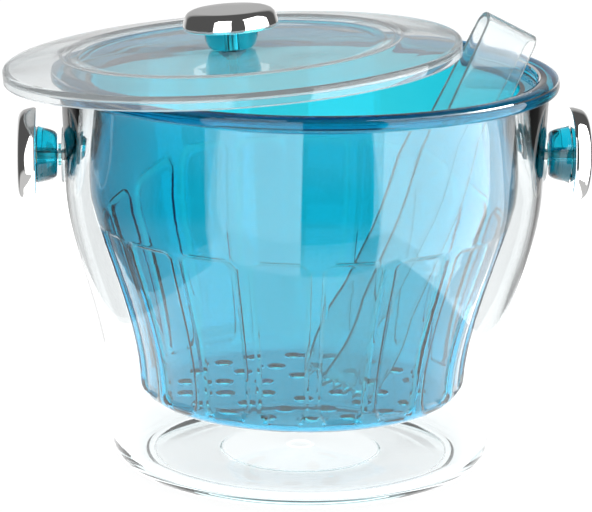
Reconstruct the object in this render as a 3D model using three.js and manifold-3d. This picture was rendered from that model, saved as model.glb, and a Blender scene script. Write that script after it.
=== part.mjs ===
// A drop-in ice bucket set: a clear waisted outer bucket with two round side knobs, a blue
// fluted liner with a drain floor, a clear lid laid askew on the rim, and one-piece tongs.
// Millimetres, +Z up. The origin is the middle of the base, on the surface it stands on, and
// X runs through the two side knobs.

import * as THREE from 'three';
import { mergeVertices } from 'three/addons/utils/BufferGeometryUtils.js';
import Module from 'manifold-3d';

const wasm = await Module();
wasm.setup();

// ---------------------------------------------------------------- driving dimensions

const touchGap = 0.3;          // left between pieces that rest on or touch each other
const roundSteps = 54;         // facets round the large turned pieces, three to a flute
const knobSteps = 20;          // facets round knobs and washers
const screwSteps = 12;         // facets round screws and inserts

// outer bucket
const bucketHeight = 184;      // base to the top edge of the clear wall
const bucketMouthR = 115;      // outside radius at the mouth
const bucketHipIn = 1.7;       // how much narrower it is where the straight upper wall ends
const bucketHipDrop = 44;      // mouth down to that place
const bucketWaistR = 92.3;     // outside radius where the curved waist runs out
const bucketWaistZ = 28;
const bucketWall = 3.6;
const bucketCornerR = 12;      // rounding between wall and base
const bucketFloor = 5.4;       // thickness of the floor over the recess
const footRingIn = 17.9;       // waist to the outside of the foot ring
const footRingWidth = 3.2;
const footRecess = 1.1;        // depth of the recess inside the foot ring
const padR = 38;               // round pad under the middle of the base

// liner
const rimOverhang = 5;         // how far the rolled rim stands out past the clear wall
const rimHeight = 7;           // underside to crest
const rimCrestIn = 7.6;        // rim's outer edge to its crest
const seatIn = 3;              // crest to the recess that the lid drops into
const seatDepth = 6.6;         // crest to the seat floor
const linerWall = 2.2;
const linerStepIn = 8;         // shoulder to the wall under the rim
const linerHipDrop = 38;       // bucket's mouth down to where the liner's taper starts
const linerFootIn = 10.1;      // inside of the bucket's waist to the liner's foot
const linerBottomZ = 33.8;     // underside of the drain floor
const linerCornerR = 10;
const fluteCount = 18;
const fluteDepth = 1.9;
const fluteDrop = 63;          // bucket's mouth down to the tops of the flutes
const registerGap = 0.4;       // between the liner's shoulder and the clear wall

// drain holes: three rings of equal holes in the liner's floor
const drainHoleR = 4.7;
const drainIn = 22.6;          // liner's foot to the outermost ring
const drainRings = [{ share: 0.357, count: 6 }, { share: 0.679, count: 12 }, { share: 1, count: 18 }];

// lid
const lidRun = 1.4;            // clearance between the lid's edge and the seat it drops into
const lidSkirt = 6.7;          // height of the edge
const lidWall = 2.4;
const lidFlange = 30;          // edge to the crest of the raised ring
const lidRingRise = 3.8;       // crest above the edge
const lidRingFoot = 8;         // crest to the flat middle
const lidDishRise = 1.2;       // flat middle above the edge
const lidTilt = 4.3;           // degrees, right side up
const lidForward = 4.2;        // how far the lid lies in front of the middle
const lidClear = 0.2;          // between the lid's right end and the tongs

// knobs: the same turned cap and collar on the lid and on both sides
const capR = 22.5;
const capFaceR = 17.5;
const capHeight = 8.8;
const neckR = 12.7;
const neckFootR = 11.4;
const neckHeight = 9.6;
const neckRound = 2.6;
const insertR = 4;
const insertDepth = 6.4;
const screwR = 2;
const screwHeadR = 4.6;
const screwHeadHeight = 2.6;
const screwRun = 0.25;         // clearance round the screw's shank
const washerR = 6.4;
const washerThickness = 1.2;
const knobDrop = 34.3;         // bucket's mouth down to the side knobs
const seatPadR = 13.2;         // round flat pad on the wall behind each side knob
const seatPadRise = 0.9;
const gasketR = 5.4;
const gasketThickness = 1.4;

// tongs
const tongsLean = 27;          // degrees from upright
const tongsBearing = 17.5;     // degrees, the way they lean
const tongsAround = -4.6;      // degrees round the rim to the corner they lean on
const tongsLength = 191;
const tongsWidth = 27.5;
const tongsWall = 2.5;
const bowR = 6.4;              // outside radius of the bend
const tipSpread = 12;          // half the distance between the arms above the scoops
const scoopLength = 46;
const scoopBulge = 4.5;
const toothCount = 5;
const toothDepth = 4.5;

// places that follow from these
const bucketHipR = bucketMouthR - bucketHipIn;
const bucketHipZ = bucketHeight - bucketHipDrop;
const footRingR = bucketWaistR - footRingIn;
const knobZ = bucketHeight - knobDrop;
const rimR = bucketMouthR + rimOverhang;
const rimCrestR = rimR - rimCrestIn;
const seatR = rimCrestR - seatIn;
const shoulderR = bucketMouthR - bucketWall - registerGap;
const linerMouthR = shoulderR - linerStepIn;
const linerHipZ = bucketHeight - linerHipDrop;
const linerFootR = bucketWaistR - bucketWall - linerFootIn;
const linerFootZ = linerBottomZ + linerCornerR + 0.2;
const fluteTopZ = bucketHeight - fluteDrop;
const lidR = seatR - lidRun;
const lidRingR = lidR - lidFlange;
const lidDishR = lidRingR - lidRingFoot;

// ---------------------------------------------------------------- materials

const finish = (color, roughness, metalness, opacity = 1) => new THREE.MeshStandardMaterial({
  color,
  roughness,
  metalness,
  opacity,
  transparent: opacity < 1,
});
const clearPlastic = () => finish(0xeef4f6, 0.05, 0, 0.3);
const bluePlastic = () => finish(0x00a6c8, 0.06, 0, 0.7);
const chrome = () => finish(0xd8d8d8, 0.05, 1);
const steel = () => finish(0xb0b0b0, 0.3, 1);
const brass = () => finish(0xb5904a, 0.35, 1);
const nylon = () => finish(0xf2f2ee, 0.5, 0);

// ---------------------------------------------------------------- shared shape tools

// turns an outline of Vector2(radius, height) about Z; it runs up the outside of the piece,
// and either starts and ends on the axis or closes on itself
function turned(outline, steps) {
  const geometry = new THREE.LatheGeometry(outline, steps);
  geometry.rotateX(Math.PI / 2);
  return geometry;
}

// a solid of revolution whose outline runs from the axis at the bottom to the axis at the top
function turnedSolid(points, steps) {
  return turned(points.map(([r, z]) => new THREE.Vector2(r, z)), steps);
}

// a ring whose outline closes on itself
function turnedRing(points, steps) {
  const outline = points.map(([r, z]) => new THREE.Vector2(r, z));
  outline.push(outline[0].clone());
  return turned(outline, steps);
}

// points along a round corner, from one angle to another in degrees
function arc(centreR, centreZ, radius, from, to, steps) {
  return Array.from({ length: steps + 1 }, (_, i) => {
    const angle = THREE.MathUtils.degToRad(from + (to - from) * i / steps);
    return [centreR + radius * Math.cos(angle), centreZ + radius * Math.sin(angle)];
  });
}

// points along the waist of a wall, from the hip down to the foot; both ends run on straight,
// and the pulls are how far, as shares of the height between them
function waist(hipR, hipZ, footR, footZ, hipPull, footPull, steps) {
  const height = hipZ - footZ;
  const curve = new THREE.CubicBezierCurve(
    new THREE.Vector2(hipR, hipZ),
    new THREE.Vector2(hipR - 0.2, hipZ - hipPull * height),
    new THREE.Vector2(footR + 1.8, footZ + footPull * height),
    new THREE.Vector2(footR, footZ),
  );
  return curve.getPoints(steps).map((point) => [point.x, point.y]);
}

// the same outline moved square to its run, to the right of the way it goes
function offset(points, distance) {
  return points.map(([r, z], i) => {
    const before = points[Math.max(i - 1, 0)];
    const after = points[Math.min(i + 1, points.length - 1)];
    const run = new THREE.Vector2(after[0] - before[0], after[1] - before[1]).normalize();
    return [r + run.y * distance, z - run.x * distance];
  });
}

// a closed mesh as a solid that can be joined and cut
function toSolid(geometry) {
  const bare = geometry.clone();
  bare.deleteAttribute('normal');
  bare.deleteAttribute('uv');
  const merged = mergeVertices(bare, 1e-4);
  return new wasm.Manifold(new wasm.Mesh({
    numProp: 3,
    vertProperties: new Float32Array(merged.attributes.position.array),
    triVerts: new Uint32Array(merged.index.array),
  }));
}

function toGeometry(solid) {
  const mesh = solid.getMesh();
  const geometry = new THREE.BufferGeometry();
  geometry.setAttribute('position', new THREE.BufferAttribute(new Float32Array(mesh.vertProperties), 3));
  geometry.setIndex(new THREE.BufferAttribute(new Uint32Array(mesh.triVerts), 1));
  geometry.computeVertexNormals();
  return geometry;
}

function cut(geometry, ...tools) {
  return toGeometry(tools.reduce((solid, tool) => solid.subtract(toSolid(tool)), toSolid(geometry)));
}

function join(geometry, ...pieces) {
  return toGeometry(pieces.reduce((solid, piece) => solid.add(toSolid(piece)), toSolid(geometry)));
}

// an upright cylinder between two heights
function post(radius, bottom, top, steps) {
  const geometry = new THREE.CylinderGeometry(radius, radius, top - bottom, steps);
  geometry.rotateX(Math.PI / 2);
  geometry.translate(0, 0, (top + bottom) / 2);
  return geometry;
}

// turns a piece that stands on Z so that it points out along +X or -X at the knobs' height
function toSide(geometry, side) {
  geometry.rotateY(side * Math.PI / 2);
  geometry.translate(0, 0, knobZ);
  return geometry;
}

const bucketSet = new THREE.Group();

function add(parent, name, geometry, material) {
  const mesh = new THREE.Mesh(geometry, material);
  mesh.name = name;
  parent.add(mesh);
  return mesh;
}

// ---------------------------------------------------------------- outer bucket

// outside radius of the straight upper wall at a height
function upperWallR(z) {
  const share = (z - bucketHipZ) / (bucketHeight - bucketHipZ);
  return bucketHipR + (bucketMouthR - bucketHipR) * share;
}

const wallAtKnob = upperWallR(knobZ);
const padFace = wallAtKnob + seatPadRise;
const wallInsideAtKnob = wallAtKnob - bucketWall;

function outerBucket() {
  const cornerR = bucketWaistR - 1.2 - bucketCornerR;
  const corner = arc(cornerR, footRecess + bucketCornerR, bucketCornerR, 0, -90, 4);
  const outside = [
    [bucketMouthR, bucketHeight],
    ...waist(bucketHipR, bucketHipZ, bucketWaistR, bucketWaistZ, 0.32, 0.42, 7),
    ...corner,
  ];
  const inside = offset(outside, bucketWall).filter(([, z]) => z > footRecess + bucketCornerR);
  const floorTop = footRecess + bucketFloor;
  const innerCorner = arc(cornerR, floorTop + bucketCornerR - bucketWall, bucketCornerR - bucketWall, -90, 0, 3);
  const outline = [
    [0, 0],
    [padR, 0],
    [padR + footRecess, footRecess],
    [footRingR - footRingWidth, footRecess],
    [footRingR - footRingWidth, 0],
    [footRingR, 0],
    [footRingR, footRecess],
    ...outside.reverse(),
    [bucketMouthR - bucketWall, bucketHeight],
    ...inside.slice(1),
    ...innerCorner.reverse(),
    [0, floorTop],
  ];
  let wall = turnedSolid(outline, roundSteps);
  for (const side of [1, -1]) {
    const pad = toSide(post(seatPadR, wallAtKnob - bucketWall / 2, padFace, knobSteps), side);
    wall = join(wall, pad);
  }
  for (const side of [1, -1]) {
    const hole = toSide(post(screwR + screwRun, wallInsideAtKnob - 6, padFace + 6, screwSteps), side);
    wall = cut(wall, hole);
  }
  return wall;
}

add(bucketSet, 'outer_bucket', outerBucket(), clearPlastic());

// ---------------------------------------------------------------- knobs

// every knob stands on Z here: its seat is at z = 0 and the screw comes from below
const neckTop = neckHeight;
const capTop = neckTop + touchGap + capHeight;
const insertBottom = neckTop + touchGap;

function knobNeck() {
  const edge = arc(neckFootR - neckRound + 1, neckRound, neckRound, -90, -18, 3);
  return turnedRing([
    [screwR + screwRun, 0],
    ...edge,
    [neckR - 0.2, neckTop * 0.6],
    [neckR + 0.9, neckTop],
    [screwR + screwRun, neckTop],
  ], knobSteps);
}

function knobCap() {
  const low = neckTop + touchGap;
  const pocketTop = low + insertDepth + touchGap;
  return turnedSolid([
    [0, pocketTop],
    [insertR + touchGap, pocketTop],
    [insertR + touchGap, low],
    [capR - 1, low],
    [capR, low + 0.8],
    [capR - 0.4, low + capHeight * 0.4],
    [capR - 1.6, low + capHeight * 0.73],
    [capR - 3.2, low + capHeight * 0.92],
    [capFaceR, capTop],
    [0, capTop],
  ], knobSteps);
}

function knobInsert() {
  return turnedRing([
    [screwR + screwRun, insertBottom],
    [insertR, insertBottom],
    [insertR, insertBottom + insertDepth],
    [screwR + screwRun, insertBottom + insertDepth],
  ], screwSteps);
}

// wall is the thickness of what the knob is screwed to
function knobWasher(wall) {
  return turnedRing([
    [screwR + screwRun, -wall - touchGap - washerThickness],
    [washerR, -wall - touchGap - washerThickness],
    [washerR, -wall - touchGap],
    [screwR + screwRun, -wall - touchGap],
  ], screwSteps);
}

function knobScrew(wall) {
  const headTop = -wall - washerThickness - 2 * touchGap;
  const headBottom = headTop - screwHeadHeight;
  return turnedSolid([
    [0, headBottom],
    [screwHeadR - 1.2, headBottom],
    [screwHeadR, headTop - screwHeadHeight * 0.4],
    [screwHeadR, headTop],
    [screwR, headTop],
    [screwR, insertBottom + insertDepth - 0.8],
    [0, insertBottom + insertDepth - 0.4],
  ], screwSteps);
}

// ---------------------------------------------------------------- side knobs

for (const [label, side] of [['right', 1], ['left', -1]]) {
  const neckSeat = padFace + gasketThickness + 2 * touchGap;
  const place = (geometry) => {
    geometry.translate(0, 0, neckSeat);
    return toSide(geometry, side);
  };
  const gasket = turnedRing([
    [screwR + screwRun, padFace + touchGap],
    [gasketR, padFace + touchGap],
    [gasketR, padFace + touchGap + gasketThickness],
    [screwR + screwRun, padFace + touchGap + gasketThickness],
  ], screwSteps);
  // the washer inside the wall stands off its curve by the rise across the washer's width
  const curveRise = wallInsideAtKnob - Math.sqrt(wallInsideAtKnob ** 2 - washerR ** 2);
  const clamped = neckSeat - wallInsideAtKnob + curveRise;
  add(bucketSet, `handle_${label}_gasket`, toSide(gasket, side), bluePlastic());
  add(bucketSet, `handle_${label}_neck`, place(knobNeck()), bluePlastic());
  add(bucketSet, `handle_${label}_insert`, place(knobInsert()), brass());
  add(bucketSet, `handle_${label}_cap`, place(knobCap()), chrome());
  add(bucketSet, `handle_${label}_washer`, place(knobWasher(clamped)), nylon());
  add(bucketSet, `handle_${label}_screw`, place(knobScrew(clamped)), steel());
}

// ---------------------------------------------------------------- liner

const rimUnderside = bucketHeight + touchGap;
const rimCrestZ = rimUnderside + rimHeight;
const seatZ = rimCrestZ - seatDepth;
const linerFloorTop = linerBottomZ + linerWall;

// how far the flutes sink in, from none at each rib to all of it across each panel
function fluteShare(angle, z) {
  const turn = angle / (2 * Math.PI) * fluteCount;
  const across = Math.abs(turn - Math.round(turn)) * 2;
  const panel = THREE.MathUtils.smoothstep(across, 0, 0.5);
  const top = 1 - THREE.MathUtils.smoothstep(z, fluteTopZ - 3, fluteTopZ + 3);
  const foot = THREE.MathUtils.smoothstep(z, linerBottomZ + linerCornerR * 0.5, linerFootZ + 4);
  return panel * top * foot;
}

// the rim's rounded top, from its outer edge over the crest to the lid's seat
const rimTop = [
  [rimR - 0.8, rimUnderside],
  [rimR, rimUnderside + 1],
  [rimR, rimUnderside + rimHeight * 0.5],
  [rimR - 1.2, rimUnderside + rimHeight * 0.78],
  [rimR - 3.6, rimUnderside + rimHeight * 0.95],
  [rimCrestR, rimCrestZ],
  [seatR + 1, rimCrestZ - 0.8],
  [seatR, rimCrestZ - 2.2],
  [seatR, seatZ],
];

function liner() {
  const shoulderZ = rimUnderside - 2.4;
  const wallOutside = [
    [linerMouthR, shoulderZ],
    ...waist(linerMouthR - 0.2, linerHipZ, linerFootR, linerFootZ, 0.275, 0.353, 8),
    ...arc(linerFootR - 0.6 - linerCornerR, linerBottomZ + linerCornerR, linerCornerR, -8, -90, 3),
  ];
  const inside = offset(wallOutside, linerWall);
  inside[0] = [linerMouthR - linerWall, seatZ];
  inside[inside.length - 1][1] = linerFloorTop;
  const outline = [
    [0, linerBottomZ],
    ...wallOutside.reverse(),
    [shoulderR, shoulderZ],
    [shoulderR, rimUnderside],
    ...rimTop,
    ...inside,
    [0, linerFloorTop],
  ];
  const geometry = turnedSolid(outline, roundSteps);
  const position = geometry.attributes.position;
  for (let i = 0; i < position.count; i += 1) {
    const x = position.getX(i);
    const y = position.getY(i);
    const z = position.getZ(i);
    const radius = Math.hypot(x, y);
    if (radius > linerFootR * 0.7 && z < fluteTopZ + 3) {
      const sink = 1 - fluteDepth * fluteShare(Math.atan2(y, x) + Math.PI / 2, z) / radius;
      position.setXY(i, x * sink, y * sink);
    }
  }
  const holes = drainRings.flatMap(({ share, count }) => Array.from({ length: count }, (_, i) => {
    const radius = share * (linerFootR - drainIn);
    const angle = 2 * Math.PI * (i + 0.5) / count;
    const hole = post(drainHoleR, linerBottomZ - 2, linerFloorTop + 2, 6);
    hole.translate(radius * Math.cos(angle), radius * Math.sin(angle), 0);
    return hole;
  }));
  return cut(geometry, ...holes);
}

add(bucketSet, 'liner', liner(), bluePlastic());

// ---------------------------------------------------------------- tongs

// the tongs stand on Z here, with their width along X and their opening along Y
const tongs = new THREE.Group();
const bowCentreZ = tongsLength - bowR;
const armZ = bowCentreZ - 8;
const bowMiddleR = bowR - tongsWall / 2;

// half the distance between the arms' middles at a height
function armSpread(z) {
  const share = (bowCentreZ - z) / (bowCentreZ - scoopLength);
  const straight = bowMiddleR + (tipSpread - bowMiddleR) * share;
  if (z >= scoopLength) {
    return straight;
  }
  const along = 1 - z / scoopLength;
  return tipSpread + scoopBulge * Math.sin(Math.PI * along * 1.25);
}

// a strip of even thickness along a run of (spread, height) points, as wide as the tongs
function strip(points) {
  const outer = offset(points, tongsWall / 2);
  const inner = offset(points, -tongsWall / 2).reverse();
  const shape = new THREE.Shape([...outer, ...inner].map(([y, z]) => new THREE.Vector2(y, z)));
  const geometry = new THREE.ExtrudeGeometry(shape, { depth: tongsWidth, bevelEnabled: false });
  geometry.translate(0, 0, -tongsWidth / 2);
  geometry.rotateX(Math.PI / 2);
  geometry.rotateZ(Math.PI / 2);
  return geometry;
}

function bow() {
  const straight = (side) => [side * armSpread(armZ + touchGap), armZ + touchGap];
  return strip([
    straight(-1),
    ...arc(0, bowCentreZ, bowMiddleR, 180, 0, 10),
    straight(1),
  ]);
}

function arm(side) {
  const heights = [armZ, 120, scoopLength, 38, 30, 22, 15, 8, 0];
  const geometry = strip(heights.map((z) => [side * armSpread(z), z]));
  const pitch = tongsWidth / toothCount;
  const notches = Array.from({ length: toothCount + 1 }, (_, i) => {
    const notch = new THREE.Shape([
      new THREE.Vector2(-pitch / 2, -1),
      new THREE.Vector2(pitch / 2, -1),
      new THREE.Vector2(0, toothDepth),
    ]);
    const tool = new THREE.ExtrudeGeometry(notch, { depth: 4 * tipSpread, bevelEnabled: false });
    tool.rotateX(Math.PI / 2);
    tool.translate((i - toothCount / 2) * pitch, 2 * tipSpread, 0);
    return tool;
  });
  return cut(geometry, ...notches);
}

add(tongs, 'tongs_bow', bow(), clearPlastic());
add(tongs, 'tongs_front_arm', arm(-1), clearPlastic());
add(tongs, 'tongs_back_arm', arm(1), clearPlastic());

// the tongs stand on the drain floor and lean out over the rim, and the front arm's outer corner
// lies against the liner's mouth
const lean = THREE.MathUtils.degToRad(tongsLean);
const bearing = THREE.MathUtils.degToRad(tongsBearing);
const leanWay = new THREE.Vector2(Math.cos(bearing), Math.sin(bearing));
const openWay = new THREE.Vector2(-Math.sin(bearing), Math.cos(bearing));
const halfAcross = tongsWidth / 2 / Math.cos(lean);
const footZ = linerFloorTop + touchGap + Math.sin(lean) * tongsWidth / 2;

// half the thickness of the tongs where they pass a height
const halfThick = (z) => armSpread((z - footZ) / Math.cos(lean)) + tongsWall / 2;

// the middle of the tongs at a height
function tongsMiddle(z) {
  const facetR = (linerMouthR - linerWall) * Math.cos(Math.PI / roundSteps) - touchGap / 2;
  const around = THREE.MathUtils.degToRad(tongsAround);
  return new THREE.Vector2(facetR * Math.cos(around), facetR * Math.sin(around))
    .addScaledVector(leanWay, (z - seatZ) * Math.tan(lean) - halfAcross)
    .addScaledVector(openWay, halfThick(seatZ));
}

const foot = tongsMiddle(footZ);
tongs.position.set(foot.x, foot.y, footZ);
tongs.rotation.set(0, lean, bearing, 'ZYX');
bucketSet.add(tongs);

// ---------------------------------------------------------------- lid, laid askew

// the lid is built flat with its edge's top plane at z = 0, then tilted and set on the rim
const lid = new THREE.Group();

function lidPlate() {
  const top = [
    [lidDishR, lidDishRise],
    [lidRingR - 4, lidRingRise - 0.9],
    [lidRingR, lidRingRise],
    [lidRingR + 4, lidRingRise - 0.5],
    [lidR - 12, 1.1],
    [lidR - 1.2, 0],
    [lidR, -1.2],
  ];
  const under = offset(top.slice(0, 5), lidWall);
  const plate = turnedSolid([
    [0, lidDishRise - lidWall],
    ...under,
    [lidR - lidWall, -lidWall],
    [lidR - lidWall, -lidSkirt],
    [lidR, -lidSkirt],
    ...top.reverse(),
    [0, lidDishRise],
  ], roundSteps);
  return cut(plate, post(screwR + screwRun, -20, 20, screwSteps));
}

function lidPiece(geometry) {
  geometry.translate(0, 0, lidDishRise + touchGap);
  return geometry;
}

add(lid, 'lid_cover', lidPlate(), clearPlastic());
add(lid, 'lid_knob_neck', lidPiece(knobNeck()), bluePlastic());
add(lid, 'lid_knob_insert', lidPiece(knobInsert()), brass());
add(lid, 'lid_knob_cap', lidPiece(knobCap()), chrome());
add(lid, 'lid_knob_washer', lidPiece(knobWasher(lidWall + touchGap)), nylon());
add(lid, 'lid_knob_screw', lidPiece(knobScrew(lidWall + touchGap)), steel());

// the lid is laid back until its right end clears the tongs' back arm
const lidSlope = Math.tan(THREE.MathUtils.degToRad(lidTilt));
const lidEndZ = rimCrestZ + lidR * lidSlope;
const lidEnd = tongsMiddle(lidEndZ)
  .addScaledVector(leanWay, -halfAcross)
  .addScaledVector(openWay, halfThick(lidEndZ));
const lidX = lidEnd.x - lidClear - lidR;

// height of the lid's middle when its lower edge rests on the rim in the two places where it
// crosses the rim, in front and behind
function lidHeight() {
  const apart = Math.hypot(lidX, lidForward);
  const heights = [lidR, lidR - lidWall].flatMap((edgeR) => rimTop.flatMap(([r, z]) => {
    const along = (r ** 2 - edgeR ** 2 + apart ** 2) / (2 * apart);
    const aside = Math.sqrt(Math.max(r ** 2 - along ** 2, 0));
    return [-aside, aside].map((sideways) => {
      const crossingX = (along * lidX + sideways * lidForward) / apart;
      return z + touchGap + lidSkirt - lidSlope * (crossingX - lidX);
    });
  }));
  return Math.max(...heights);
}

lid.position.set(lidX, -lidForward, lidHeight());
lid.rotation.y = THREE.MathUtils.degToRad(-lidTilt);
bucketSet.add(lid);

export default bucketSet;
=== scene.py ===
# An ice bucket set of clear and blue plastic: a waisted outer bucket with two round side
# knobs, a fluted drain liner, a lid laid askew on the rim, and tongs. Metres, +Z up.
from math import atan2, cos, hypot, pi, radians, sin

import bmesh
import bpy
from mathutils import Matrix, Vector
from mathutils.geometry import interpolate_bezier


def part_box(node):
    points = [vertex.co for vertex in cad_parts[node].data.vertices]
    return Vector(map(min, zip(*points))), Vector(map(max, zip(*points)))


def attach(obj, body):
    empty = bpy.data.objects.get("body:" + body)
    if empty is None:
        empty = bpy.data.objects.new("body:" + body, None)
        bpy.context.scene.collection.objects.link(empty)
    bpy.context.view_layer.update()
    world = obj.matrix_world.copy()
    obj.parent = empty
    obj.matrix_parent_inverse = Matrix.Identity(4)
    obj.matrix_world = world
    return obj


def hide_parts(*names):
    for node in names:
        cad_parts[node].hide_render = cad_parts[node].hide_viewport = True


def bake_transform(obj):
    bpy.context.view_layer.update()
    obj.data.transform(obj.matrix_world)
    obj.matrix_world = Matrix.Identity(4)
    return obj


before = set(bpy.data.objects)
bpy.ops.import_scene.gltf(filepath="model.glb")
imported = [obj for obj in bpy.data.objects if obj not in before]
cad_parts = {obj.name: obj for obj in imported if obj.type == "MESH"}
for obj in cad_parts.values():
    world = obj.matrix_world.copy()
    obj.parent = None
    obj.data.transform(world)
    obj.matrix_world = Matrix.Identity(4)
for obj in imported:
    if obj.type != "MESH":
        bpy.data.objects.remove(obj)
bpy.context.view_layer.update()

# ---------------------------------------------------------------- outer bucket
# One injection moulding in clear acrylic, polished in the mould: a waisted wall, a foot ring and
# a round pad under the base, and the small ring left by the gate in the middle of the floor.
MM = 0.001
WALL = 3.6
MOUTH_R, MOUTH_Z = 115, 184
HIP_R, HIP_Z = 113.3, 140
WAIST_R, WAIST_Z = 92.3, 28
FLOOR_Z = 6.5


class Shade:
    """A value in a finish's nodes. Sums written on it become Math nodes."""

    def __init__(self, finish, socket):
        self.finish = finish
        self.socket = socket

    def sum(self, operation, first, second):
        return self.finish.node("ShaderNodeMath", {"operation": operation}, {0: first, 1: second})

    def __add__(self, other):
        return self.sum("ADD", self, other)

    def __sub__(self, other):
        return self.sum("SUBTRACT", self, other)

    def __rsub__(self, other):
        return self.sum("SUBTRACT", other, self)

    def __mul__(self, other):
        return self.sum("MULTIPLY", self, other)

    __radd__ = __add__
    __rmul__ = __mul__


class Finish:
    """A material with a Principled shader, and the nodes that give it its detail."""

    def __init__(self, name, **constants):
        self.material = bpy.data.materials.new(name)
        self.material.use_nodes = True
        self.tree = self.material.node_tree
        self.shader = self.tree.nodes["Principled BSDF"]
        self.place = self.node("ShaderNodeTexCoord", {}, {}, "Object")
        for socket, value in constants.items():
            self.shader.inputs[socket.replace("_", " ")].default_value = value

    def node(self, kind, settings, inputs, output=0):
        node = self.tree.nodes.new(kind)
        for name, value in settings.items():
            setattr(node, name, value)
        for name, value in inputs.items():
            if isinstance(value, Shade):
                self.tree.links.new(value.socket, node.inputs[name])
            else:
                node.inputs[name].default_value = value
        return Shade(self, node.outputs[output])

    def feed(self, name, value):
        self.tree.links.new(value.socket, self.shader.inputs[name])

    def noise(self, scale, detail=2.0, stretch=(1, 1, 1)):
        across = self.node("ShaderNodeMapping", {}, {"Vector": self.place, "Scale": stretch})
        return self.node("ShaderNodeTexNoise", {}, {"Vector": across, "Scale": scale, "Detail": detail})

    def bump(self, height, distance):
        return self.node("ShaderNodeBump", {}, {"Height": height, "Distance": distance}, "Normal")

    def mix(self, factor, low, high):
        inputs = {"Factor": factor, 6: (*low, 1), 7: (*high, 1)}
        return self.node("ShaderNodeMix", {"data_type": "RGBA"}, inputs, 2)

    def absorb(self, colour, density):
        depth = self.tree.nodes.new("ShaderNodeVolumeAbsorption")
        depth.inputs["Color"].default_value = (*colour, 1)
        depth.inputs["Density"].default_value = density
        self.tree.links.new(depth.outputs[0], self.tree.nodes["Material Output"].inputs["Volume"])


def moulded(name, tint, dark_tint, clearness=1.0, bending=1.49):
    """Clear polished plastic: slow ripples from the mould, a faint haze and hairline scratches."""
    finish = Finish(name, Transmission_Weight=clearness, IOR=bending)
    haze = finish.noise(38, 3)
    scratch = finish.noise(420, 2, (1, 1, 0.06))
    finish.feed("Base Color", finish.mix(haze, tint, dark_tint))
    finish.feed("Roughness", haze * 0.012 + scratch * 0.01)
    finish.feed("Normal", finish.bump(finish.noise(16, 1, (1, 1, 0.45)), 0.0009))
    return finish


def rounded(corners, steps=6):
    """(radius, height) points along straight runs, with each (radius, height, rounding) eased."""
    spots = [Vector((corner[0], corner[1], 0)) for corner in corners]
    points = []
    for i, corner in enumerate(corners):
        if len(corner) == 2:
            points.append(spots[i])
            continue
        start = spots[i] + (spots[i - 1] - spots[i]).normalized() * corner[2]
        end = spots[i] + (spots[i + 1] - spots[i]).normalized() * corner[2]
        eased = start.lerp(spots[i], 0.55), end.lerp(spots[i], 0.55)
        points += interpolate_bezier(start, *eased, end, steps + 1)
    return [(point.x, point.y) for point in points]


def waisted(high, low, high_pull, low_pull, steps):
    """(radius, height) points down a waisted wall, straight at both ends."""
    pulls = (high[0] - 0.2, high[1] - high_pull), (low[0] + 1.8, low[1] + low_pull)
    knots = [Vector((*point, 0)) for point in (high, *pulls, low)]
    return [(point.x, point.y) for point in interpolate_bezier(*knots, steps)]


def turned(outline, steps):
    """A body of revolution about Z from (radius, height) points in millimetres."""
    bm = bmesh.new()
    points = [bm.verts.new((radius * MM, 0, height * MM)) for radius, height in outline]
    runs = [bm.edges.new(pair) for pair in zip(points, points[1:])]
    bmesh.ops.spin(bm, geom=points + runs, cent=(0, 0, 0), axis=(0, 0, 1), angle=2 * pi,
                   steps=steps, use_merge=True, use_duplicate=False)
    bmesh.ops.remove_doubles(bm, verts=bm.verts, dist=0.002 * MM)
    bmesh.ops.recalc_face_normals(bm, faces=bm.faces)
    return bm


def finished(name, bm, finish, body, slot, *nodes):
    """The mesh as a piece that rides on a body, smooth but for its real edges."""
    mesh = bpy.data.meshes.new(name)
    bm.to_mesh(mesh)
    bm.free()
    mesh.shade_smooth()
    mesh.set_sharp_from_angle(angle=radians(32))
    mesh.materials.append(finish.material)
    piece = bpy.data.objects.new(name, mesh)
    bpy.context.scene.collection.objects.link(piece)
    if body:
        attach(piece, body)
    if nodes:
        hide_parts(*nodes)
    return piece


clear = moulded("clear acrylic", (1, 1, 1), (0.97, 0.985, 0.99), bending=1.36)
clear.absorb((0.55, 0.86, 0.9), 9)

bucket_outline = [
    *rounded([(0, 0), (38, 0, 0.6), (39, 1.1, 0.5), (71.2, 1.1, 0.5), (71.2, 0, 0.5), (74.4, 0, 0.7),
              (75.4, 1.1, 0.6), (91.1, 1.1, 12), (WAIST_R, WAIST_Z)], 5)[:-1],
    *reversed(waisted((HIP_R, HIP_Z), (WAIST_R, WAIST_Z), 36, 47, 44)),
    *rounded([(HIP_R, HIP_Z), (MOUTH_R, MOUTH_Z, 1.2), (MOUTH_R - WALL, MOUTH_Z, 1.2),
              (HIP_R - WALL, HIP_Z)], 4)[1:-1],
    *waisted((HIP_R - WALL, HIP_Z), (WAIST_R - WALL, WAIST_Z), 36, 47, 44),
    *rounded([(WAIST_R - WALL, WAIST_Z), (WAIST_R - WALL - 1.2, FLOOR_Z, 8.4), (6.6, FLOOR_Z, 0.2),
              (6.3, FLOOR_Z + 0.5, 0.2), (5.2, FLOOR_Z + 0.5, 0.2), (4.9, FLOOR_Z, 0.2),
              (0, FLOOR_Z)], 4)[1:],
]
finished("bucket_shell", turned(bucket_outline, 240), clear, "bucket", "clear_plastic", "outer_bucket")

# ---------------------------------------------------------------- side knobs
# Two round knobs, each a chrome-plated cap and a collar of tinted acrylic drawn together by one
# screw from inside the wall, on a flat round seat with a thin soft gasket under the collar.
SEAT_R, SEAT_RISE = 13.2, 0.9
COLLAR_H = 9.6

tinted = moulded("tinted acrylic", (1, 1, 1), (0.93, 0.98, 1))
tinted.absorb((0.05, 0.76, 0.82), 230)

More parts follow.
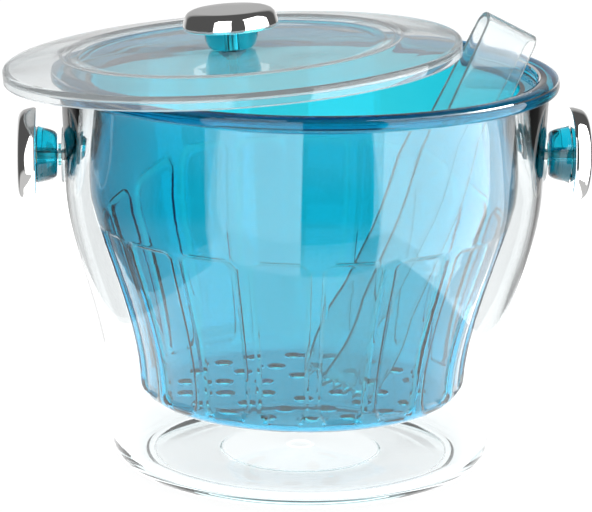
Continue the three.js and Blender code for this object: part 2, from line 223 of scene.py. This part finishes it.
chrome = Finish("plated chrome", Metallic=1.0)
smear = chrome.noise(60, 4)
chrome.feed("Base Color", chrome.mix(smear, (0.86, 0.85, 0.83), (0.8, 0.8, 0.8)))
chrome.feed("Roughness", smear * 0.05 + 0.012)
chrome.feed("Normal", chrome.bump(chrome.noise(90, 1), 0.0001))

screw_steel = Finish("zinc plated steel", Metallic=1.0)
grain = screw_steel.noise(700, 3)
screw_steel.feed("Base Color", screw_steel.mix(grain, (0.45, 0.45, 0.44), (0.62, 0.62, 0.6)))
screw_steel.feed("Roughness", grain * 0.2 + 0.2)

insert_brass = Finish("turned brass", Metallic=1.0)
lines = insert_brass.noise(900, 2)
insert_brass.feed("Base Color", insert_brass.mix(lines, (0.6, 0.42, 0.16), (0.72, 0.52, 0.22)))
insert_brass.feed("Roughness", lines * 0.2 + 0.22)

washer_nylon = Finish("white nylon", IOR=1.53)
mottle = washer_nylon.noise(300, 3)
washer_nylon.feed("Base Color", washer_nylon.mix(mottle, (0.8, 0.8, 0.77), (0.88, 0.88, 0.86)))
washer_nylon.feed("Roughness", mottle * 0.15 + 0.35)


def collar():
    """The tinted collar, standing on Z on its seat, with the screw's hole through it."""
    return turned([
        *rounded([(2.3, 0.4), (2.3, 0), (10.4, 0, 1.6), (12.0, 3.2, 1.6), (12.6, 6), (13.6, COLLAR_H, 0.4),
                  (2.3, COLLAR_H), (2.3, 0.4)]),
    ], 96)


def cap():
    """The chrome cap, standing on Z over the collar, with a soft shoulder and a nearly flat face."""
    low = COLLAR_H + 0.3
    return turned([
        (0, low + 0.6), (13.9, low + 0.6),
        *rounded([(14.0, low), (22.2, low, 0.5), (22.5, low + 1.4, 0.7), (21.9, low + 4.4, 1.5),
                  (20.9, low + 7.0, 1.4), (18.6, low + 8.4, 1.2), (17.2, low + 8.6), (16, low + 8.65),
                  (10, low + 8.74), (0, low + 8.8)]),
    ], 128)


def on_side(bm, side, out):
    """Turns a part standing on Z to stick out along +X or -X from a distance, at the knobs' height."""
    low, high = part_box("handle_right_cap")
    place = Matrix.Translation((side * out, 0, (low.z + high.z) / 2))
    bmesh.ops.transform(bm, matrix=place @ Matrix.Rotation(side * pi / 2, 4, "Y"), verts=bm.verts)
    return bm


def knob_seat():
    """The flat round seat, its back curved to lie on the wall."""
    knob_r = HIP_R + 0.4
    bm = turned(rounded([(0, 0), (4, 0), (8, 0), (10.5, 0), (SEAT_R, 0), (SEAT_R, SEAT_RISE, 0.5),
                         (9, SEAT_RISE), (0, SEAT_RISE)], 4), 96)
    for vert in bm.verts:
        if vert.co.z < 0.1 * MM:
            vert.co.z = (knob_r ** 2 - (vert.co.y / MM) ** 2) ** 0.5 * MM - (knob_r - 0.05) * MM
    return bm


for label, side in (("right", 1), ("left", -1)):
    node = f"handle_{label}_"
    low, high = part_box(node + "neck")
    neck_out = min(abs(low.x), abs(high.x))
    gasket_low, gasket_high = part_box(node + "gasket")
    seat_out = min(abs(gasket_low.x), abs(gasket_high.x)) - (SEAT_RISE + 0.3) * MM
    finished(f"knob_seat_{label}", on_side(knob_seat(), side, seat_out), clear, "bucket", "clear_plastic")
    finished(f"knob_collar_{label}", on_side(collar(), side, neck_out), tinted, "bucket", "blue_plastic",
             node + "neck")
    finished(f"knob_cap_{label}", on_side(cap(), side, neck_out), chrome, "bucket", "chrome", node + "cap")
    for part, finish in (("gasket", tinted), ("insert", insert_brass), ("washer", washer_nylon),
                         ("screw", screw_steel)):
        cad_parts[node + part].material_slots[0].material = finish.material

# ---------------------------------------------------------------- liner
# The blue liner hangs in the bucket by its rolled rim. It is one thin moulding in clear blue
# plastic: eighteen shallow panels between narrow upright ribs, and a flat floor full of holes.
LINER_WALL = 2.2
MOUTH_IN = 103
FOOT_R, FOOT_Z = 78.6, 44
LINER_FLOOR = 33.8
FILL_R = 66
PANELS = 18
PANEL_DEPTH = 1.9
PANEL_TOP, PANEL_FOOT, PANEL_CORNER = 121, 39, 6
RIB_HALF = 2.1
HOLE_R = 4.7
HOLE_RINGS = ((20, 6), (38, 12), (56, 18))

blue = moulded("clear blue plastic", (1, 1, 1), (0.94, 0.98, 1), bending=1.38)
blue.absorb((0.03, 0.878, 0.93), 1500)


def liner_wall(inset, heights):
    """(radius, height) points down the tapered wall, inset from its outside."""
    curve = waisted((MOUTH_IN - 0.2 - inset, 146), (FOOT_R - inset, FOOT_Z), 28, 36, 200)
    return [(min(curve, key=lambda point: abs(point[1] - height))[0], height) for height in heights]


def ease(value):
    value = min(max(value, 0), 1)
    return value * value * (3 - 2 * value)


def panel_sink(angle, radius, height):
    """How far the wall is sunk at a place: all of the depth on a panel, none on a rib."""
    turn = angle / (2 * pi) * PANELS
    across = abs(turn - round(turn)) * 2 * pi / PANELS * radius
    from_side = across - RIB_HALF
    from_end = min(PANEL_TOP - height, height - PANEL_FOOT)
    inner = PANEL_CORNER - min(from_side, PANEL_CORNER), PANEL_CORNER - min(from_end, PANEL_CORNER)
    return PANEL_DEPTH * ease((PANEL_CORNER - hypot(*inner)) / 2.2)


heights = [*range(146, 126, -5), *(124 - 0.75 * i for i in range(15)), *range(112, 46, -3), 45, FOOT_Z]
liner_outline = [
    *rounded([(FILL_R, LINER_FLOOR), (FOOT_R - 0.6, LINER_FLOOR, 9.8), (FOOT_R, FOOT_Z)], 8)[:-1],
    *reversed(liner_wall(0, heights)),
    *rounded([(MOUTH_IN, 170), (MOUTH_IN, 181.9, 0.8), (111, 181.9, 0.8), (111, 184.3, 0.4),
              (112.4, 184.3, 0.5), (112.8, 188.4, 1.6), (116.9, 187.9, 1.6), (117.3, 184.3, 0.5),
              (119.3, 184.3, 1.1), (120, 188, 2.0), (118.2, 190.6, 1.8), (112.4, 191.3, 3.2),
              (109.4, 189.2, 1.6), (109.4, 184.8, 0.8),
              (MOUTH_IN - LINER_WALL, 184.7, 0.9), (MOUTH_IN - LINER_WALL - 0.1, 165)], 5)[:-1],
    *liner_wall(LINER_WALL, heights),
    *rounded([(FOOT_R - LINER_WALL, FOOT_Z), (FOOT_R - LINER_WALL - 0.6, LINER_FLOOR + LINER_WALL, 7.6),
              (FILL_R, LINER_FLOOR + LINER_WALL)], 7)[1:],
]
liner = turned(liner_outline, PANELS * 28)
for vert in liner.verts:
    radius, height = hypot(vert.co.x, vert.co.y) / MM, vert.co.z / MM
    if radius > FILL_R + 3 and height < PANEL_TOP:
        sunk = 1 - panel_sink(atan2(vert.co.y, vert.co.x) + pi / 2, radius, height) / radius
        vert.co.x *= sunk
        vert.co.y *= sunk

# the floor is a flat sheet filled in round its holes, then given its thickness
drain_floor = bmesh.new()
bmesh.ops.create_circle(drain_floor, segments=PANELS * 28, radius=FILL_R * MM)
for ring_r, count in HOLE_RINGS:
    for i in range(count):
        around = 2 * pi * (i + 0.5) / count
        spot = Matrix.Translation((ring_r * cos(around) * MM, ring_r * sin(around) * MM, 0))
        bmesh.ops.create_circle(drain_floor, segments=24, radius=HOLE_R * MM, matrix=spot)
bmesh.ops.triangle_fill(drain_floor, use_beauty=True, edges=drain_floor.edges)
bmesh.ops.recalc_face_normals(drain_floor, faces=drain_floor.faces)
bmesh.ops.translate(drain_floor, vec=(0, 0, LINER_FLOOR * MM), verts=drain_floor.verts)
sheet = bmesh.ops.extrude_face_region(drain_floor, geom=drain_floor.faces[:], use_keep_orig=True)
lifted = [item for item in sheet["geom"] if isinstance(item, bmesh.types.BMVert)]
bmesh.ops.translate(drain_floor, vec=(0, 0, LINER_WALL * MM), verts=lifted)
edge_band = [face for face in drain_floor.faces
             if abs(face.normal.z) < 0.5 and hypot(*face.calc_center_median().xy) > (FILL_R - 1) * MM]
bmesh.ops.delete(drain_floor, geom=edge_band, context="FACES")
floor_mesh = bpy.data.meshes.new("drain floor")
drain_floor.to_mesh(floor_mesh)
drain_floor.free()
liner.from_mesh(floor_mesh)
bpy.data.meshes.remove(floor_mesh)
bmesh.ops.remove_doubles(liner, verts=liner.verts, dist=0.01 * MM)
bmesh.ops.recalc_face_normals(liner, faces=liner.faces)
finished("liner_body", liner, blue, "liner", "blue_plastic", "liner")

# ---------------------------------------------------------------- tongs
# One strip of clear acrylic, bent over a former into a narrow bow. Each arm swells into a scoop
# The strip is built as two halves, each from the top of the bow to one end.
LEAN, BEARING = radians(27), radians(17.5)
TONGS_FOOT = Vector((14.06, -27.2, 42.54))
LENGTH, WIDTH, STRIP = 191, 27.5, 2.5
BOW_R = 5.15
SCOOP = 46
SPREAD = 12
TEETH = 5
TOOTH = 4.5
stand = (Matrix.Translation(TONGS_FOOT * MM) @ Matrix.Rotation(BEARING, 4, "Z")
         @ Matrix.Rotation(LEAN, 4, "Y"))


def arm_spread(z):
    """Half the distance between the arms' middles at a height along the tongs."""
    if z >= SCOOP:
        return BOW_R + (SPREAD - BOW_R) * (LENGTH - 6.4 - z) / (LENGTH - 6.4 - SCOOP)
    return SPREAD + 4.5 * sin(pi * (1 - z / SCOOP) * 1.25)


def tongs_half(side):
    """Half the strip, from the top of the bow to one end, bent from a flat blank."""
    bow_z = LENGTH - 6.4
    run = [(BOW_R * sin(pi / 20 * i), bow_z + BOW_R * cos(pi / 20 * i)) for i in range(11)]
    run += [(arm_spread(z), z) for z in (180, 177, 170, 150, 130, 110, 90, 70, 58, 50)]
    run += [(arm_spread(z), z) for z in range(46, -1, -2)]
    blank = bmesh.new()
    bmesh.ops.create_grid(blank, x_segments=2 * TEETH, y_segments=len(run) - 1, size=0.5)
    for vert in blank.verts:
        column = round((vert.co.x + 0.5) * 2 * TEETH)
        row = round((0.5 - vert.co.y) * (len(run) - 1))
        spread, height = run[row]
        if column % 2 == 0:
            height = max(height, TOOTH - (len(run) - 1 - row) * 0.2)
        before, after = run[max(row - 1, 0)], run[min(row + 1, len(run) - 1)]
        along = Vector((after[0] - before[0], after[1] - before[1])).normalized()
        vert.co = ((column / (2 * TEETH) - 0.5) * WIDTH * MM, (spread - along.y * STRIP / 2) * MM,
                   (height + along.x * STRIP / 2) * MM)
    bmesh.ops.recalc_face_normals(blank, faces=blank.faces)
    if sum(face.normal.y for face in blank.faces) < 0:
        bmesh.ops.reverse_faces(blank, faces=blank.faces)
    bmesh.ops.solidify(blank, geom=blank.faces[:], thickness=STRIP * MM)
    corners = [edge for edge in blank.edges
               if len(edge.link_faces) == 2 and edge.calc_face_angle() > radians(50)
               and min(vert.co.z for vert in edge.verts) < (bow_z + BOW_R - 1) * MM]
    bmesh.ops.bevel(blank, geom=corners, offset=0.35 * MM, segments=2, profile=0.5, affect="EDGES",
                    material=-1)
    bmesh.ops.scale(blank, vec=(1, side, 1), verts=blank.verts)
    bmesh.ops.recalc_face_normals(blank, faces=blank.faces)
    bmesh.ops.transform(blank, matrix=stand, verts=blank.verts)
    return blank


frosty = moulded("frosty acrylic", (1, 1, 1), (0.94, 0.99, 1), 0.84, 1.42)
frosty.absorb((0.55, 0.86, 0.9), 9)
for label, side in (("front", -1), ("back", 1)):
    nodes = (f"tongs_{label}_arm", "tongs_bow") if side < 0 else (f"tongs_{label}_arm",)
    half = finished(f"tongs_half_{label}", tongs_half(side), frosty, None, "clear_plastic", *nodes)
    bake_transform(half)

# ---------------------------------------------------------------- lid
# The clear lid lies askew on the rim, its right side up. It is one thin moulding: an upright
# edge, a sloping flange, a low raised ring and a flat sunken middle that carries the knob.
LID_R = 107.8
lid_place = Matrix.Translation(Vector((-34.67, -4.2, 200.15)) * MM) @ Matrix.Rotation(radians(-4.3), 4, "Y")

lid_outline = [
    (0, -1.2), (30, -1.2),
    *rounded([(50, -1.2), (69.5, -1.2, 3), (75.6, 1.0, 2.5), (78.6, 1.4, 2), (83, 0.6, 3), (96, -1.35),
              (105.4, -2.4, 1.4), (105.5, -6.4, 0.5), (LID_R, -6.6, 0.7), (LID_R, 0, 1.6), (96, 1.1),
              (82, 3.3, 2.5), (78, 3.8, 2), (74, 2.9, 2.5), (70, 1.2, 3), (50, 1.2)], 5),
    (30, 1.2), (0, 1.2),
]
lid = turned(lid_outline, 288)
bmesh.ops.transform(lid, matrix=lid_place, verts=lid.verts)
misty = moulded("misty acrylic", (1, 1, 1), (0.93, 0.98, 1), 0.88, 1.4)
misty.absorb((0.55, 0.86, 0.9), 9)
finished("lid_plate", lid, misty, "lid", "clear_plastic", "lid_cover")

# ---------------------------------------------------------------- lid knob
# The same cap and collar as on the sides, screwed to the middle of the lid from below.
lid_knob_place = lid_place @ Matrix.Translation((0, 0, 1.5 * MM))
for name, bm, finish, slot, node in (("lid_collar", collar(), tinted, "blue_plastic", "lid_knob_neck"),
                                     ("lid_cap", cap(), chrome, "chrome", "lid_knob_cap")):
    bmesh.ops.transform(bm, matrix=lid_knob_place, verts=bm.verts)
    finished(name, bm, finish, "lid", slot, node)
for part, finish in (("insert", insert_brass), ("washer", washer_nylon), ("screw", screw_steel)):
    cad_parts["lid_knob_" + part].material_slots[0].material = finish.material

# ---------------------------------------------------------------- studio
# A white floor and an even white room, as seen straight or through the plastic. A first
# reflection sees another room instead: dark, with a tall bright card to the right, a softer one
# to the left, a small bright table, and white behind and below. It is laid out for one camera.
TABLE_SHINE = 2.0
RIGHT_GLOW, LEFT_GLOW = 4.6, 3.0
DARK_SIDE, DIM_CORNER = 0.02, 0.12
FLOOR_COLOUR = (0.1, 0.1, 0.1, 1)


def math_node(tree, operation, *values):
    """A Math node on numbers and other nodes' outputs."""
    node = tree.nodes.new("ShaderNodeMath")
    node.operation = operation
    for socket, value in zip(node.inputs, values):
        if isinstance(value, bpy.types.NodeSocket):
            tree.links.new(value, socket)
        else:
            socket.default_value = value
    return node.outputs[0]


def ramp(tree, value, start, end, low, high):
    """From low to high as a value goes from start to end."""
    node = tree.nodes.new("ShaderNodeMapRange")
    tree.links.new(value, node.inputs["Value"])
    for socket, number in zip(("From Min", "From Max", "To Min", "To Max"), (start, end, low, high)):
        node.inputs[socket].default_value = number
    return node.outputs[0]


def near(tree, count, middle, reach):
    """1 where a count kept along the light's way is close to a number, else 0."""
    path = tree.nodes.new("ShaderNodeLightPath")
    return math_node(tree, "COMPARE", path.outputs[count], middle, reach)


def by_gloss(tree, plain, mirrored, out="Material Output"):
    """One shader for what is seen straight or through the plastic, another in a first reflection."""
    either = tree.nodes.new("ShaderNodeMixShader")
    tree.links.new(near(tree, "Glossy Depth", 1, 0.5), either.inputs[0])
    tree.links.new(plain.outputs[0], either.inputs[1])
    tree.links.new(mirrored.outputs[0], either.inputs[2])
    tree.links.new(either.outputs[0], tree.nodes[out].inputs["Surface"])


def stage_sheet(name, corner, along, up):
    """A flat sheet from one corner."""
    bm = bmesh.new()
    corner, along, up = Vector(corner), Vector(along), Vector(up)
    spots = corner, corner + along, corner + along + up, corner + up
    bm.faces.new([bm.verts.new(spot) for spot in spots])
    mesh = bpy.data.meshes.new(name)
    bm.to_mesh(mesh)
    bm.free()
    sheet = bpy.data.objects.new(name, mesh)
    bpy.context.scene.collection.objects.link(sheet)
    return mesh


pale = Finish("pale table", Base_Color=FLOOR_COLOUR, Roughness=0.9, Specular_IOR_Level=0,
              Emission_Color=(1, 1, 1, 1), Emission_Strength=0.95)
table_shine = pale.tree.nodes.new("ShaderNodeEmission")
table_shine.inputs["Strength"].default_value = TABLE_SHINE
by_gloss(pale.tree, pale.shader, table_shine)
stage_sheet("table", (-0.2, -0.27, 0), (0.4, 0, 0), (0, 2.2, 0)).materials.append(pale.material)

far_floor = Finish("far floor", Base_Color=FLOOR_COLOUR, Roughness=0.9, Specular_IOR_Level=0,
                   Emission_Color=(1, 1, 1, 1), Emission_Strength=0.95)
by_gloss(far_floor.tree, far_floor.shader, far_floor.tree.nodes.new("ShaderNodeBsdfTransparent"))
room_floor = stage_sheet("room floor", (-6, -6, -0.0004), (12, 0, 0), (0, 12, 0))
room_floor.materials.append(far_floor.material)

for name, glow, corner, along in (("right card", RIGHT_GLOW, (0.28, -0.5, -0.25), (0.25, 0.6, 0)),
                                  ("left card", LEFT_GLOW, (-0.06, -0.62, -0.25), (-0.42, 0.16, 0))):
    card = bpy.data.materials.new(name)
    card.use_nodes = True
    card_tree = card.node_tree
    card_tree.nodes.remove(card_tree.nodes["Principled BSDF"])
    lit = card_tree.nodes.new("ShaderNodeEmission")
    lit.inputs["Strength"].default_value = glow
    by_gloss(card_tree, card_tree.nodes.new("ShaderNodeBsdfTransparent"), lit)
    stage_sheet(name, corner, along, (0, 0, 1.2)).materials.append(card)

room = bpy.data.worlds.new("room")
room.use_nodes = True
room_tree = room.node_tree
light = room_tree.nodes["Background"]
light.inputs["Color"].default_value = (1, 1, 1, 1)
light.inputs["Strength"].default_value = 1.0
way = room_tree.nodes.new("ShaderNodeTexCoord")
parts = room_tree.nodes.new("ShaderNodeSeparateXYZ")
room_tree.links.new(way.outputs["Generated"], parts.inputs[0])
in_edge = near(room_tree, "Transmission Depth", 2, 1.5)
back = math_node(room_tree, "MULTIPLY_ADD", in_edge, 0.9, parts.outputs["Y"])
behind = ramp(room_tree, back, 0.7, 0.9, DARK_SIDE, 1)
overhead = ramp(room_tree, parts.outputs["Z"], 0, 0.15, 1, 0.6)
wall = math_node(room_tree, "MULTIPLY", behind, overhead)
underfoot = ramp(room_tree, parts.outputs["Z"], -0.5, -0.38, 0.8, 0)
dim = math_node(room_tree, "MULTIPLY", near(room_tree, "Transmission Depth", 1, 2.5), DIM_CORNER)
floor_or_dim = math_node(room_tree, "MAXIMUM", underfoot, dim)
mirrored_room = room_tree.nodes.new("ShaderNodeBackground")
brightest = math_node(room_tree, "MAXIMUM", wall, floor_or_dim)
room_tree.links.new(brightest, mirrored_room.inputs["Strength"])
by_gloss(room_tree, light, mirrored_room, "World Output")
bpy.context.scene.world = room
bpy.context.scene.view_settings.view_transform = "Standard"

camera = bpy.data.cameras.new("camera")
camera.lens = 177.76
camera.sensor_width = 36
camera.clip_end = 20
viewer = bpy.data.objects.new("camera", camera)
viewer.matrix_world = (Matrix.Translation((-0.0947, -1.3549, 0.4364))
                       @ Matrix.Rotation(radians(-3.8625), 4, "Z")
                       @ Matrix.Rotation(pi / 2 - 0.2428, 4, "X") @ Matrix.Rotation(0.0133, 4, "Z"))
bpy.context.scene.collection.objects.link(viewer)
bpy.context.scene.camera = viewer
